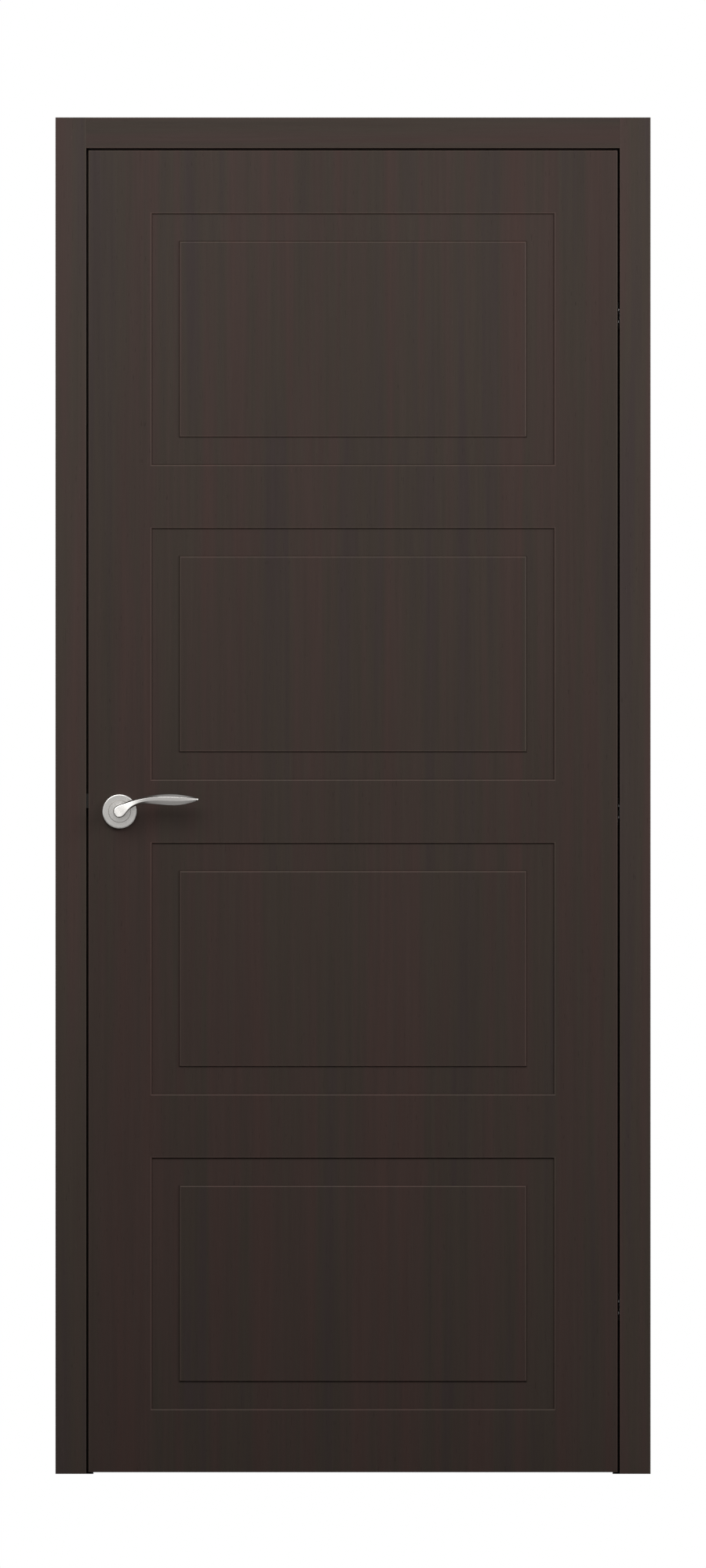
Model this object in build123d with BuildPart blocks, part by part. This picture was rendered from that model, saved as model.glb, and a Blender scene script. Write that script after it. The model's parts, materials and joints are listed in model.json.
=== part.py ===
from build123d import *
import math
import os

# Interior door with its frame, in millimetres: X to the right, -Y to the front, Z up.
# The origin is on the floor, midway between the jambs and midway through the leaf.
os.makedirs("parts", exist_ok=True)

# Leaf
leaf_width = 800.0
leaf_height = 2000.0
leaf_thickness = 40.0
floor_gap = 2.5
side_gap = 3.5

# Raised panels, milled alike into both faces of the leaf
panel_count = 4
stile_width = 95.0
rail_height = 95.0
panel_border = 43.5
panel_depth = 4.0
panel_slope = 1.8
field_drop = 0.5

# Frame
jamb_thickness = 36.0
wall_thickness = 70.0
stop_depth = 36.0
stop_width = 11.0
casing_width = 46.5
casing_thickness = 10.0
tongue_thickness = 4.0
tongue_depth = 7.5
tongue_setback = 17.5

# Seal in the stop
seal_stem_width = 3.0
seal_stem_depth = 5.0
seal_bulb_width = 6.5
seal_touch = 0.3

# Fixing holes through the jambs, hidden in the rebate while the door is shut
fixing_hole = 8.0
fixing_head = 15.0
fixing_y = 6.0
fixing_end_distance = 120.0
fixing_inner_spacing = 560.0

# Corner screws that hold the head jamb
corner_screw_pitch = 34.0

# Concealed hinges: frame cup, leaf cup and two crossing arms on a rhombus of pivots
hinge_count = 3
hinge_end_distance = 250.0
opening_angle = 110.0
crossing_depth = 25.0
crossing_reach = 5.5
elbow_out = 3.5
elbow_depth = 31.5
slide_out = 20.0
slide_depth = 31.0
cup_height = 130.0
cup_face = 3.5
cup_width = 33.0
cup_plate = 3.0
cup_depth = 24.5
cup_wall = 2.0
inner_arm_height = 14.0
outer_arm_height = 10.0
web_thickness = 3.0
cup_end_wall = 5.0
arm_width = 5.2
arm_pivot_boss = 1.0
arm_crossing_boss = 1.9
arm_slide_boss = 0.4
arm_gap = 0.3
trunnion_reach = 2.4
mouth_chamfer = 1.5
web_relief = 4.0
pivot_pin = 4.0
crossing_pin = 5.0
slide_pin = 5.0
cup_screw_places = (36.0, 48.5)

# Wood screws: diameter, length and head
cup_screw = (4.0, 28.0, 8.4)
corner_screw = (5.0, 70.0, 10.0)
strike_screw = (3.5, 24.0, 7.0)
face_screw = (3.5, 20.0, 7.0)

# Lever handle, mortise latch and strike
backset = 47.0
handle_height = 1000.0
spindle_size = 8.0
rose_diameter = 52.5
rose_height = 9.0
rose_wall = 1.5
rose_bolt_spacing = 38.0
rose_bolt = 4.0
neck_diameter = 18.0
neck_gap = 0.5
lever_reach = 57.0
lever_angle = 40.0
grub_out = 12.0
grub_diameter = 5.0
spindle_end_gap = 22.5
rose_base_thickness = 4.0
rose_rim = 3.0
rose_rim_drop = 0.9
rose_groove_radius = 16.7
rose_groove_width = 1.8
rose_groove_depth = 0.6
bush_wall = 1.5
bolt_sleeve_wall = 1.5
rose_bolt_head = 1.5
case_length = 69.0
case_thickness = 15.0
case_below = 16.0
case_above = 33.0
case_wall = 1.5
bolt_rise = 16.0
bolt_height = 22.0
bolt_width = 11.0
bolt_reach = 11.0
face_height = 150.0
face_width = 20.0
face_thickness = 3.0
bolt_nose_flat = 2.0
bolt_block_length = 14.0
lug_length = 4.0
bar_height = 6.0
bar_width = 5.0
bar_rise = 0.5
follower_radius = 8.0
cam_radius = 16.2
cam_tip = 2.5
cam_half_width = 1.5
spring_diameter = 6.0
spring_wire = 0.9
strike_height = 110.0
strike_width = 21.0
strike_plate_thickness = 2.5
strike_lip_front = 3.0
strike_lip_height = 40.0
strike_corner = 3.0
strike_bolt_gap = 0.8
box_room = 5.0
box_wall = 1.5
plate_screw_inset = 10.0

# Clearances
seat_gap = 0.2
screw_gap = 0.05
running_gap = 0.05
slide_gap = 0.15
pocket_gap = 0.3

# Positions worked out from the sizes above
leaf_half = leaf_width / 2
front_face = -leaf_thickness / 2
back_face = leaf_thickness / 2
leaf_top = floor_gap + leaf_height
rebate = leaf_half + side_gap
head_rebate = leaf_top + side_gap
jamb_outer = rebate + jamb_thickness
head_outer = head_rebate + jamb_thickness
casing_outer = rebate + casing_width
casing_top = head_rebate + casing_width
jamb_front = front_face + casing_thickness
jamb_back = jamb_front + wall_thickness
stop_face = jamb_back - stop_depth
stop_inner = rebate - stop_width
head_stop = head_rebate - stop_width
frame_depth_middle = (jamb_front + jamb_back) / 2
axis_x = backset - leaf_half
axis_z = floor_gap + handle_height
bolt_z = axis_z + bolt_rise


# Screw shapes, laid along +Z with the head's face at zero and the point below
def wood_screw(diameter, length, head):
    with BuildPart() as screw:
        with BuildSketch(Plane.XZ):
            with BuildLine():
                Polyline(
                    (0, 0),
                    (head / 2, 0),
                    (diameter / 2, -(head - diameter) / 2),
                    (diameter / 2, -length + diameter),
                    (0, -length),
                    close=True,
                )
            make_face()
        revolve(axis=Axis.Z)
    return screw.part


def screw_hole(diameter, length, head):
    return wood_screw(diameter + 2 * screw_gap, length + screw_gap, head + 2 * screw_gap)


def along_x(x, y, z, direction):
    return Plane(origin=(x, y, z), x_dir=(0, 1, 0), z_dir=(direction, 0, 0)).location


# Leaf panels
panel_width = leaf_width - 2 * stile_width
panel_height = (leaf_height - (panel_count + 1) * rail_height) / panel_count
panel_pitch = panel_height + rail_height
panel_middles = []
for index in range(panel_count):
    panel_middles.append(leaf_top - rail_height - panel_height / 2 - index * panel_pitch)
panel_taper = math.degrees(math.atan(panel_slope / panel_depth))

# Hinge places: the leaf turns about a line in the front plane, midway across the gap
hinge_x = leaf_half + side_gap / 2
hinge_y = front_face
hinge_places = []
for index in range(hinge_count):
    rise = (leaf_height - 2 * hinge_end_distance) * index / (hinge_count - 1)
    hinge_places.append(floor_gap + hinge_end_distance + rise)

# The four pivots form a rhombus whose fourth corner is the hinge line, so both
# arms turn in step with the leaf; its shape follows from depth, reach and angle
half_open = math.radians(opening_angle / 2)
pivot_depth = crossing_depth / 2
pivot_out = pivot_depth * (math.cos(half_open) - crossing_reach / crossing_depth) / math.sin(half_open)
rhombus_side = math.hypot(pivot_out, pivot_depth)
rhombus_start = math.degrees(math.atan2(pivot_depth, -pivot_out))
bay_inner = inner_arm_height / 2 + arm_gap
web_outer = bay_inner + web_thickness
outer_arm_start = web_outer + arm_gap
outer_arm_end = outer_arm_start + outer_arm_height
bay_outer = outer_arm_end + arm_gap
cup_half = bay_outer + cup_end_wall
cup_middle = hinge_y + cup_face + cup_width / 2
mouth = side_gap / 2
cup_back = mouth + cup_depth
chamber_back = cup_back - cup_wall
chamber_front = cup_face + cup_wall
chamber_rear = cup_face + cup_width - cup_wall
web_setback = crossing_pin / 2 + 3 * arm_gap
web_edge = pivot_depth + web_relief


# A place in the hinge plan: out from the hinge line on one side, and behind the front plane
def plan(side, out, depth):
    return (hinge_x + side * out, hinge_y + depth)


# Pocket for one hinge cup, cut into a jamb, a casing or the leaf
def cut_cup_pocket(side, height):
    surface = Plane(
        origin=(hinge_x + side * mouth, cup_middle, height),
        x_dir=(0, 1, 0),
        z_dir=(side, 0, 0),
    )
    with BuildSketch(surface) as plate_recess:
        SlotOverall(cup_height + 2 * seat_gap, cup_width + 2 * seat_gap, rotation=90)
    extrude(plate_recess.sketch, amount=cup_plate, mode=Mode.SUBTRACT)
    with BuildSketch(surface) as housing_pocket:
        Rectangle(cup_width + 2 * pocket_gap, 2 * cup_half + 2 * pocket_gap)
    extrude(housing_pocket.sketch, amount=cup_depth + pocket_gap, mode=Mode.SUBTRACT)


def cup_screw_locations(side, height):
    places = []
    for place in cup_screw_places:
        places.append(along_x(hinge_x + side * mouth, cup_middle, height + place, -side))
        places.append(along_x(hinge_x + side * mouth, cup_middle, height - place, -side))
    return places


# Jambs with rebate, stop, seal kerf, casing groove and fixing holes
seal_middle = (rebate + stop_inner) / 2
tongue_middle = tongue_setback + tongue_thickness / 2
fixing_heights = (
    fixing_end_distance,
    (head_rebate - fixing_inner_spacing) / 2,
    (head_rebate + fixing_inner_spacing) / 2,
    head_rebate - fixing_end_distance,
)
corner_screw_z = head_rebate + jamb_thickness / 2


def corner_screw_locations(side):
    places = []
    for step in (-1, 1):
        middle = frame_depth_middle + step * corner_screw_pitch / 2
        places.append(along_x(side * jamb_outer, middle, corner_screw_z, side))
    return places


def jamb_blank(side):
    with BuildSketch(Plane.XY) as section:
        with BuildLine():
            Polyline(
                (side * jamb_outer, jamb_front),
                (side * rebate, jamb_front),
                (side * rebate, stop_face),
                (side * stop_inner, stop_face),
                (side * stop_inner, jamb_back),
                (side * jamb_outer, jamb_back),
                close=True,
            )
        make_face()
        with Locations((side * seal_middle, stop_face)):
            Rectangle(seal_stem_width, 2 * seal_stem_depth, mode=Mode.SUBTRACT)
        with Locations((side * (rebate + tongue_middle), jamb_front)):
            Rectangle(tongue_thickness + seat_gap, 2 * tongue_depth + seat_gap, mode=Mode.SUBTRACT)
        with Locations((side * (rebate + tongue_middle), jamb_back)):
            Rectangle(tongue_thickness + seat_gap, 2 * tongue_depth + seat_gap, mode=Mode.SUBTRACT)
    extrude(section.sketch, amount=head_outer)
    with BuildSketch(Plane.XY.offset(head_rebate)) as head_seat:
        with Locations((side * seal_middle, (stop_face + jamb_back) / 2)):
            Rectangle(stop_width, stop_depth)
    extrude(head_seat.sketch, amount=jamb_thickness, mode=Mode.SUBTRACT)
    for height in fixing_heights:
        with Locations(along_x(side * rebate, fixing_y, height, -side)):
            CounterSinkHole(fixing_hole / 2, fixing_head / 2, jamb_thickness)
    with Locations(*corner_screw_locations(side)):
        add(screw_hole(*corner_screw), mode=Mode.SUBTRACT)


strike_middle_y = jamb_front + seat_gap + strike_width / 2
strike_screw_spacing = strike_height - 2 * plate_screw_inset
box_depth = bolt_reach - side_gap + box_room
box_width = bolt_width + box_room
box_height = bolt_height + box_room + 2 * box_wall
strike_lip_reach = jamb_front + seat_gap - (front_face + strike_lip_front)


def strike_screw_locations():
    places = []
    for step in (-1, 1):
        middle = bolt_z + step * strike_screw_spacing / 2
        places.append(along_x(-rebate, strike_middle_y, middle, 1))
    return places


strike_surface = Plane(origin=(-rebate, 0, bolt_z), x_dir=(0, 1, 0), z_dir=(1, 0, 0))

with BuildPart() as lock_jamb:
    jamb_blank(-1)
    with BuildSketch(strike_surface):
        with Locations((strike_middle_y, 0)):
            RectangleRounded(strike_width + 2 * seat_gap, strike_height + 2 * seat_gap, strike_corner)
    extrude(amount=-strike_plate_thickness, mode=Mode.SUBTRACT)
    with BuildSketch(strike_surface):
        Rectangle(box_width + 2 * seat_gap, box_height + 2 * seat_gap)
    extrude(amount=-(strike_plate_thickness + box_depth + seat_gap), mode=Mode.SUBTRACT)
    with Locations(*strike_screw_locations()):
        add(screw_hole(*strike_screw), mode=Mode.SUBTRACT)
lock_jamb.part.label = "lock_jamb"
export_step(lock_jamb.part, "parts/lock_jamb.step")

with BuildPart() as hinge_jamb:
    jamb_blank(1)
    for height in hinge_places:
        cut_cup_pocket(1, height)
        with Locations(*cup_screw_locations(1, height)):
            add(screw_hole(*cup_screw), mode=Mode.SUBTRACT)
hinge_jamb.part.label = "hinge_jamb"
export_step(hinge_jamb.part, "parts/hinge_jamb.step")

# Head jamb between the side jambs, its stop between their stops
head_plane = Plane(origin=(0, 0, 0), x_dir=(0, 1, 0), z_dir=(1, 0, 0))
with BuildPart() as head_jamb:
    with BuildSketch(head_plane.offset(-rebate)):
        with Locations((frame_depth_middle, head_rebate + jamb_thickness / 2)):
            Rectangle(wall_thickness, jamb_thickness)
        with Locations((jamb_front, head_rebate + tongue_middle)):
            Rectangle(2 * tongue_depth + seat_gap, tongue_thickness + seat_gap, mode=Mode.SUBTRACT)
        with Locations((jamb_back, head_rebate + tongue_middle)):
            Rectangle(2 * tongue_depth + seat_gap, tongue_thickness + seat_gap, mode=Mode.SUBTRACT)
    extrude(amount=2 * rebate)
    with BuildSketch(head_plane.offset(-stop_inner)):
        with Locations((jamb_back - stop_depth / 2, head_rebate - stop_width / 2)):
            Rectangle(stop_depth, stop_width)
        with Locations((stop_face, head_rebate - stop_width / 2)):
            Rectangle(2 * seal_stem_depth, seal_stem_width, mode=Mode.SUBTRACT)
    extrude(amount=2 * stop_inner)
    with Locations(*corner_screw_locations(-1), *corner_screw_locations(1)):
        add(screw_hole(*corner_screw), mode=Mode.SUBTRACT)
head_jamb.part.label = "head_jamb"
export_step(head_jamb.part, "parts/head_jamb.step")

with BuildPart() as corner_screws:
    with Locations(*corner_screw_locations(-1), *corner_screw_locations(1)):
        add(wood_screw(*corner_screw))
corner_screws.part.label = "corner_screws"
export_step(corner_screws.part, "parts/corner_screws.step")


# Casings: flat boards with a tongue in the jamb's groove, sides full height
def casing_section(side, inner, face, direction):
    with Locations((side * (inner + casing_outer) / 2, face - direction * casing_thickness / 2)):
        Rectangle(casing_outer - inner, casing_thickness)
    with Locations((side * (rebate + tongue_middle), face + direction * tongue_depth / 2)):
        Rectangle(tongue_thickness, tongue_depth)


with BuildPart() as front_casing_left:
    with BuildSketch(Plane.XY):
        casing_section(-1, rebate, jamb_front, 1)
    extrude(amount=casing_top)
    with BuildSketch(strike_surface):
        with Locations((jamb_front - strike_lip_reach / 2, 0)):
            Rectangle(strike_lip_reach + 2 * seat_gap, strike_lip_height + 2 * seat_gap)
    extrude(amount=-strike_plate_thickness, mode=Mode.SUBTRACT)
front_casing_left.part.label = "front_casing_left"
export_step(front_casing_left.part, "parts/front_casing_left.step")

with BuildPart() as front_casing_right:
    with BuildSketch(Plane.XY):
        casing_section(1, rebate, jamb_front, 1)
    extrude(amount=casing_top)
    for height in hinge_places:
        cut_cup_pocket(1, height)
front_casing_right.part.label = "front_casing_right"
export_step(front_casing_right.part, "parts/front_casing_right.step")

for name, side in (("back_casing_left", -1), ("back_casing_right", 1)):
    with BuildPart() as back_casing:
        with BuildSketch(Plane.XY):
            casing_section(side, stop_inner, jamb_back, -1)
        extrude(amount=casing_top)
    back_casing.part.label = name
    export_step(back_casing.part, "parts/" + name + ".step")

for name, half_length, lower, face, direction in (
    ("front_casing_head", rebate, head_rebate, jamb_front, 1),
    ("back_casing_head", stop_inner, head_stop, jamb_back, -1),
):
    with BuildPart() as head_casing:
        with BuildSketch(head_plane.offset(-half_length)):
            with Locations((face - direction * casing_thickness / 2, (lower + casing_top) / 2)):
                Rectangle(casing_thickness, casing_top - lower)
            with Locations((face + direction * tongue_depth / 2, head_rebate + tongue_middle)):
                Rectangle(tongue_depth, tongue_thickness)
        extrude(amount=2 * half_length)
    head_casing.part.label = name
    export_step(head_casing.part, "parts/" + name + ".step")


# Seals: a stem in the kerf and a bulb that the leaf's back meets
seal_bulb_depth = stop_face - back_face - seal_touch

for name, side in (("seal_left", -1), ("seal_right", 1)):
    with BuildPart() as seal:
        with BuildSketch(Plane.XY):
            with Locations((side * seal_middle, stop_face + (seal_stem_depth - seat_gap) / 2)):
                Rectangle(seal_stem_width - seat_gap, seal_stem_depth - seat_gap)
            with Locations((side * seal_middle, stop_face - seal_bulb_depth / 2)):
                RectangleRounded(seal_bulb_width, seal_bulb_depth, seal_bulb_depth / 2.2)
            with Locations((side * seal_middle, stop_face - seal_bulb_depth / 4)):
                Rectangle(seal_stem_width - seat_gap, seal_bulb_depth / 2)
        extrude(amount=head_rebate)
    seal.part.label = name
    export_step(seal.part, "parts/" + name + ".step")

with BuildPart() as seal_head:
    with BuildSketch(head_plane.offset(-stop_inner)):
        with Locations((stop_face + (seal_stem_depth - seat_gap) / 2, head_rebate - stop_width / 2)):
            Rectangle(seal_stem_depth - seat_gap, seal_stem_width - seat_gap)
        with Locations((stop_face - seal_bulb_depth / 2, head_rebate - stop_width / 2)):
            RectangleRounded(seal_bulb_depth, seal_bulb_width, seal_bulb_depth / 2.2)
        with Locations((stop_face - seal_bulb_depth / 4, head_rebate - stop_width / 2)):
            Rectangle(seal_bulb_depth / 2, seal_stem_width - seat_gap)
    extrude(amount=2 * stop_inner)
seal_head.part.label = "seal_head"
export_step(seal_head.part, "parts/seal_head.step")

# Strike plate with its lip, dust box and screws
with BuildPart() as strike_plate:
    with BuildSketch(strike_surface):
        with Locations((strike_middle_y, 0)):
            RectangleRounded(strike_width, strike_height, strike_corner)
        with Locations((jamb_front - strike_lip_reach / 2 + seat_gap, 0)):
            Rectangle(strike_lip_reach, strike_lip_height)
        Rectangle(
            bolt_width + 2 * strike_bolt_gap,
            bolt_height + 2 * strike_bolt_gap,
            mode=Mode.SUBTRACT,
        )
    extrude(amount=-strike_plate_thickness)
    with Locations(*strike_screw_locations()):
        add(screw_hole(*strike_screw), mode=Mode.SUBTRACT)
strike_plate.part.label = "strike_plate"
export_step(strike_plate.part, "parts/strike_plate.step")

with BuildPart() as strike_box:
    with BuildSketch(strike_surface.offset(-strike_plate_thickness)):
        Rectangle(box_width, box_height)
    extrude(amount=-box_depth)
    with BuildSketch(strike_surface.offset(-strike_plate_thickness)):
        Rectangle(box_width - 2 * box_wall, box_height - 2 * box_wall)
    extrude(amount=-(box_depth - box_wall), mode=Mode.SUBTRACT)
strike_box.part.label = "strike_box"
export_step(strike_box.part, "parts/strike_box.step")

with BuildPart() as strike_screws:
    with Locations(*strike_screw_locations()):
        add(wood_screw(*strike_screw))
strike_screws.part.label = "strike_screws"
export_step(strike_screws.part, "parts/strike_screws.step")


# Hinge cups: one casting for both sides, with a middle bay, two outer bays and two webs
def hinge_cup(side, height):
    surface = Plane(
        origin=(hinge_x + side * mouth, cup_middle, height),
        x_dir=(0, 1, 0),
        z_dir=(side, 0, 0),
    )
    arc_middle = plan(side, slide_out + pivot_out, slide_depth - pivot_depth)
    if side > 0:
        arc_start = rhombus_start
        arc_turn = opening_angle
    else:
        arc_start = 180 - rhombus_start
        arc_turn = -opening_angle
    with BuildPart() as cup:
        with BuildSketch(surface):
            SlotOverall(cup_height, cup_width, rotation=90)
        extrude(amount=cup_plate)
        with BuildSketch(surface):
            Rectangle(cup_width, 2 * cup_half)
        extrude(amount=cup_depth)
        for lower, upper in (
            (-bay_outer, -web_outer),
            (-bay_inner, bay_inner),
            (web_outer, bay_outer),
        ):
            with BuildSketch(Plane.XY.offset(height + lower)):
                with BuildLine():
                    Polyline(
                        plan(side, mouth, chamber_front - mouth_chamfer),
                        plan(side, mouth + mouth_chamfer, chamber_front),
                        plan(side, chamber_back, chamber_front),
                        plan(side, chamber_back, chamber_rear),
                        plan(side, mouth, chamber_rear),
                        close=True,
                    )
                make_face()
            extrude(amount=upper - lower, mode=Mode.SUBTRACT)
        with BuildSketch(Plane.XY.offset(height - web_outer)):
            with Locations(plan(side, (mouth + web_setback) / 2, (chamber_rear + web_edge) / 2)):
                Rectangle(web_setback - mouth, chamber_rear - web_edge)
        extrude(amount=2 * web_outer, mode=Mode.SUBTRACT)
        with BuildSketch(Plane.XY.offset(height - bay_outer - trunnion_reach)):
            SlotArc(
                CenterArc(arc_middle, rhombus_side, arc_start, arc_turn, mode=Mode.PRIVATE),
                slide_pin + 2 * slide_gap,
            )
        extrude(amount=2 * (bay_outer + trunnion_reach), mode=Mode.SUBTRACT)
        with BuildSketch(Plane.XY.offset(height - cup_half)):
            with Locations(plan(side, pivot_out, pivot_depth)):
                Circle(pivot_pin / 2 + 0.01)
        extrude(amount=2 * cup_half, mode=Mode.SUBTRACT)
        with Locations(*cup_screw_locations(side, height)):
            add(screw_hole(*cup_screw), mode=Mode.SUBTRACT)
    return cup.part


def arm_outline(side):
    corners = (
        plan(side, pivot_out, pivot_depth),
        plan(side, 0, crossing_depth),
        plan(side, -elbow_out, elbow_depth),
        plan(side, -slide_out, slide_depth),
    )
    for start, end in zip(corners[:-1], corners[1:]):
        run = math.hypot(end[0] - start[0], end[1] - start[1])
        turn = math.degrees(math.atan2(end[1] - start[1], end[0] - start[0]))
        with Locations(((start[0] + end[0]) / 2, (start[1] + end[1]) / 2)):
            SlotCenterToCenter(run, arm_width, rotation=turn)
    with Locations(corners[0]):
        Circle(arm_width / 2 + arm_pivot_boss)
    with Locations(corners[1]):
        Circle(arm_width / 2 + arm_crossing_boss)
    with Locations(corners[3]):
        Circle(arm_width / 2 + arm_slide_boss)


def arm_holes(side, pivot_hole, crossing_hole):
    with Locations(plan(side, pivot_out, pivot_depth)):
        Circle(pivot_hole, mode=Mode.SUBTRACT)
    with Locations(plan(side, 0, crossing_depth)):
        Circle(crossing_hole, mode=Mode.SUBTRACT)


def trunnion(side, lower, upper):
    pin(side, -slide_out, slide_depth, slide_pin, lower, upper)


def pin(side, out, depth, diameter, lower, upper):
    with BuildSketch(Plane.XY.offset(lower)) as section:
        with Locations(plan(side, out, depth)):
            Circle(diameter / 2)
    extrude(section.sketch, amount=upper - lower)


for number, height in enumerate(hinge_places, start=1):
    frame_cup = hinge_cup(1, height)
    frame_cup.label = "hinge_frame_cup_" + str(number)
    export_step(frame_cup, "parts/" + frame_cup.label + ".step")

    leaf_cup = hinge_cup(-1, height)
    leaf_cup.label = "hinge_leaf_cup_" + str(number)
    export_step(leaf_cup, "parts/" + leaf_cup.label + ".step")

    with BuildPart() as outer_arms:
        for level in (height + outer_arm_start, height - outer_arm_end):
            with BuildSketch(Plane.XY.offset(level)):
                arm_outline(1)
                arm_holes(1, pivot_pin / 2 + running_gap, crossing_pin / 2 + 0.01)
            extrude(amount=outer_arm_height)
        upper_end = height + bay_outer + trunnion_reach - arm_gap
        lower_end = height - bay_outer - trunnion_reach + arm_gap
        trunnion(1, height + bay_inner + arm_gap, upper_end)
        trunnion(1, lower_end, height - bay_inner - arm_gap)
    outer_arms.part.label = "hinge_outer_arms_" + str(number)
    export_step(outer_arms.part, "parts/" + outer_arms.part.label + ".step")

    with BuildPart() as inner_arm:
        with BuildSketch(Plane.XY.offset(height - inner_arm_height / 2)):
            arm_outline(-1)
            arm_holes(-1, pivot_pin / 2 + running_gap, crossing_pin / 2 + running_gap)
        extrude(amount=inner_arm_height)
        trunnion(-1, height - web_outer + arm_gap, height + web_outer - arm_gap)
    inner_arm.part.label = "hinge_inner_arm_" + str(number)
    export_step(inner_arm.part, "parts/" + inner_arm.part.label + ".step")

    with BuildPart() as centre_pin:
        pin(1, 0, crossing_depth, crossing_pin, height - outer_arm_end, height + outer_arm_end)
    centre_pin.part.label = "hinge_centre_pin_" + str(number)
    export_step(centre_pin.part, "parts/" + centre_pin.part.label + ".step")

with BuildPart() as hinge_frame_pins:
    for height in hinge_places:
        pin(1, pivot_out, pivot_depth, pivot_pin, height + bay_inner, height + cup_half)
        pin(1, pivot_out, pivot_depth, pivot_pin, height - cup_half, height - bay_inner)
hinge_frame_pins.part.label = "hinge_frame_pins"
export_step(hinge_frame_pins.part, "parts/hinge_frame_pins.step")

with BuildPart() as hinge_leaf_pins:
    for height in hinge_places:
        pin(-1, pivot_out, pivot_depth, pivot_pin, height - web_outer, height + web_outer)
hinge_leaf_pins.part.label = "hinge_leaf_pins"
export_step(hinge_leaf_pins.part, "parts/hinge_leaf_pins.step")

for name, side in (("hinge_frame_screws", 1), ("hinge_leaf_screws", -1)):
    with BuildPart() as cup_screws:
        for height in hinge_places:
            with Locations(*cup_screw_locations(side, height)):
                add(wood_screw(*cup_screw))
    cup_screws.part.label = name
    export_step(cup_screws.part, "parts/" + name + ".step")

# Latch case, faceplate and bolt, set into the leaf's left edge
edge_surface = Plane(origin=(-leaf_half, 0, axis_z), x_dir=(0, 1, 0), z_dir=(1, 0, 0))
case_front = -leaf_half + face_thickness
case_back = case_front + case_length
case_middle_z = (case_above - case_below) / 2
case_inside = case_thickness - 2 * case_wall
face_screw_spacing = face_height - 2 * plate_screw_inset
bolt_slot_width = bolt_width + 2 * pocket_gap
bolt_slot_height = bolt_height + 2 * pocket_gap
journal_radius = follower_radius - 1.5


def face_screw_locations():
    places = []
    for step in (-1, 1):
        middle = axis_z + case_middle_z + step * face_screw_spacing / 2
        places.append(along_x(-leaf_half, 0, middle, -1))
    return places


case_plan = Plane(origin=(axis_x, 0, axis_z), x_dir=(1, 0, 0), z_dir=(0, -1, 0))
case_centre = (case_front + case_length / 2 - axis_x, case_middle_z)
rose_bolt_places = ((-rose_bolt_spacing / 2, 0), (rose_bolt_spacing / 2, 0))
bolt_sleeve = rose_bolt / 2 + bolt_sleeve_wall


def case_openings(journal_hole):
    Circle(journal_hole, mode=Mode.SUBTRACT)
    with Locations(*rose_bolt_places):
        Circle(bolt_sleeve, mode=Mode.SUBTRACT)


with BuildPart() as latch_case:
    with BuildSketch(case_plan.offset(-case_thickness / 2)):
        with Locations(case_centre):
            Rectangle(case_length, case_above + case_below)
        case_openings(journal_radius + running_gap)
    extrude(amount=case_wall)
    with BuildSketch(case_plan.offset(-case_thickness / 2 + case_wall)):
        with Locations(case_centre):
            Rectangle(case_length, case_above + case_below)
            Rectangle(
                case_length - 2 * case_wall,
                case_above + case_below - 2 * case_wall,
                mode=Mode.SUBTRACT,
            )
    extrude(amount=case_inside)
    with BuildSketch(edge_surface.offset(face_thickness)):
        with Locations((0, bolt_rise)):
            Rectangle(bolt_slot_width, bolt_slot_height)
    extrude(amount=case_wall, mode=Mode.SUBTRACT)
latch_case.part.label = "latch_case"
export_step(latch_case.part, "parts/latch_case.step")

with BuildPart() as latch_cover:
    with BuildSketch(case_plan.offset(case_thickness / 2 - case_wall)):
        with Locations(case_centre):
            Rectangle(case_length, case_above + case_below)
        case_openings(journal_radius + running_gap)
    extrude(amount=case_wall)
latch_cover.part.label = "latch_cover"
export_step(latch_cover.part, "parts/latch_cover.step")

with BuildPart() as latch_faceplate:
    with BuildSketch(edge_surface):
        with Locations((0, case_middle_z)):
            SlotOverall(face_height, face_width, rotation=90)
        with Locations((0, bolt_rise)):
            Rectangle(bolt_slot_width, bolt_slot_height, mode=Mode.SUBTRACT)
    extrude(amount=face_thickness)
    with Locations(*face_screw_locations()):
        add(screw_hole(*face_screw), mode=Mode.SUBTRACT)
latch_faceplate.part.label = "latch_faceplate"
export_step(latch_faceplate.part, "parts/latch_faceplate.step")

with BuildPart() as latch_faceplate_screws:
    with Locations(*face_screw_locations()):
        add(wood_screw(*face_screw))
latch_faceplate_screws.part.label = "latch_faceplate_screws"
export_step(latch_faceplate_screws.part, "parts/latch_faceplate_screws.step")

# Latch bolt: bevelled at the back, with a bar over the follower and a lug for its cam
half_lever = math.radians(lever_angle / 2)
lug_face = axis_x - cam_radius * math.sin(half_lever) + cam_tip + seat_gap
lug_low = axis_z + cam_radius * math.cos(half_lever) - cam_tip + seat_gap
bar_low = axis_z + cam_radius + cam_tip + bar_rise
bolt_block_end = case_front + bolt_block_length
bolt_tip = -leaf_half - bolt_reach

with BuildPart() as latch_bolt:
    with BuildSketch(Plane.XY.offset(bolt_z - bolt_height / 2)):
        with BuildLine():
            Polyline(
                (bolt_tip, -bolt_width / 2),
                (bolt_tip, -bolt_width / 2 + bolt_nose_flat),
                (-leaf_half - seat_gap, bolt_width / 2),
                (bolt_block_end, bolt_width / 2),
                (bolt_block_end, -bolt_width / 2),
                close=True,
            )
        make_face()
    extrude(amount=bolt_height)
    with BuildSketch(Plane.XZ.offset(-bar_width / 2)):
        with BuildLine():
            Polyline(
                (bolt_block_end, bar_low),
                (lug_face, bar_low),
                (lug_face, lug_low),
                (lug_face + lug_length, lug_low),
                (lug_face + lug_length, bar_low + bar_height),
                (bolt_block_end, bar_low + bar_height),
                close=True,
            )
        make_face()
    extrude(amount=bar_width)
latch_bolt.part.label = "latch_bolt"
export_step(latch_bolt.part, "parts/latch_bolt.step")

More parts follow.
